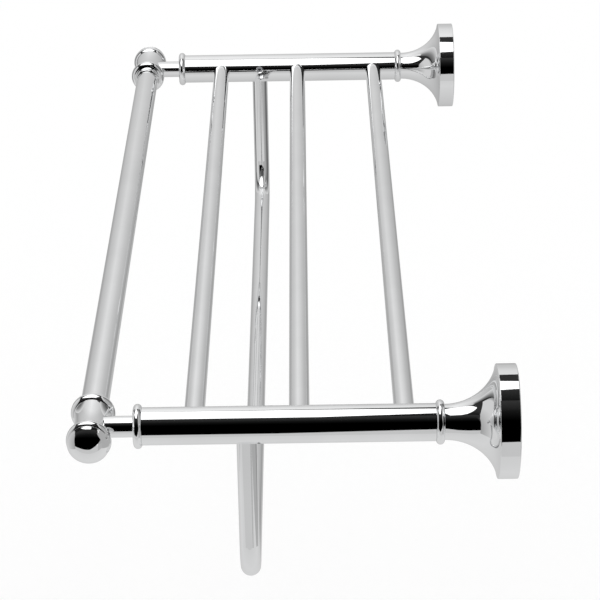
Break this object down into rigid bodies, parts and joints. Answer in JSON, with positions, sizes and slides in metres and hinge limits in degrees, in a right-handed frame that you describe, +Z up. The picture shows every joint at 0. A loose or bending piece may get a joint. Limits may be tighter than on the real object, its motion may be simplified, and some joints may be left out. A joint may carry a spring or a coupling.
{
  "type": "towel bar with shelf",
  "caption": "Wall-mounted bath shelf of round chromed bars between arms with domed finials on trumpet flanges, with a bent towel bar hung under it.",
  "frame": {"origin": "centre of the wall screws' rectangle, on the wall plane at the level of the arms' centre lines", "axes": "+X along the shelf to the right as seen from the front, +Y into the wall, +Z up; the shelf stands out towards -Y"},
  "size_m": [0.6766, 0.258, 0.1462],
  "materials": {
    "chrome": "mirror-polished chrome plate on brass",
    "bracket_zinc": "bright zinc, as cast",
    "screw_steel": "stainless steel, turned",
    "insert_brass": "turned brass"
  },
  "bodies": {
    "root": {"wall_bracket_left": "bracket_zinc", "wall_bracket_right": "bracket_zinc", "flange_left": "chrome", "flange_right": "chrome", "rear_ring_left": "chrome", "rear_ring_right": "chrome", "arm_tube_left": "chrome", "arm_tube_right": "chrome", "front_ring_left": "chrome", "front_ring_right": "chrome", "neck_fitting_left": "chrome", "neck_fitting_right": "chrome", "rail_collar_left": "chrome", "rail_collar_right": "chrome", "finial_left": "chrome", "finial_right": "chrome", "front_rail": "chrome", "front_shelf_bar": "chrome", "middle_shelf_bar": "chrome", "rear_shelf_bar": "chrome", "towel_loop": "chrome", "arm_bolt_left": "screw_steel", "arm_bolt_right": "screw_steel", "rail_stud_left": "screw_steel", "rail_stud_right": "screw_steel", "flange_grub_screw_left": "screw_steel", "flange_grub_screw_right": "screw_steel", "loop_grub_screw_left": "screw_steel", "loop_grub_screw_right": "screw_steel", "rear_plug_left": "insert_brass", "rear_plug_right": "insert_brass", "front_plug_left": "insert_brass", "front_plug_right": "insert_brass", "rail_insert_left": "insert_brass", "rail_insert_right": "insert_brass"}
  },
  "joints": []
}
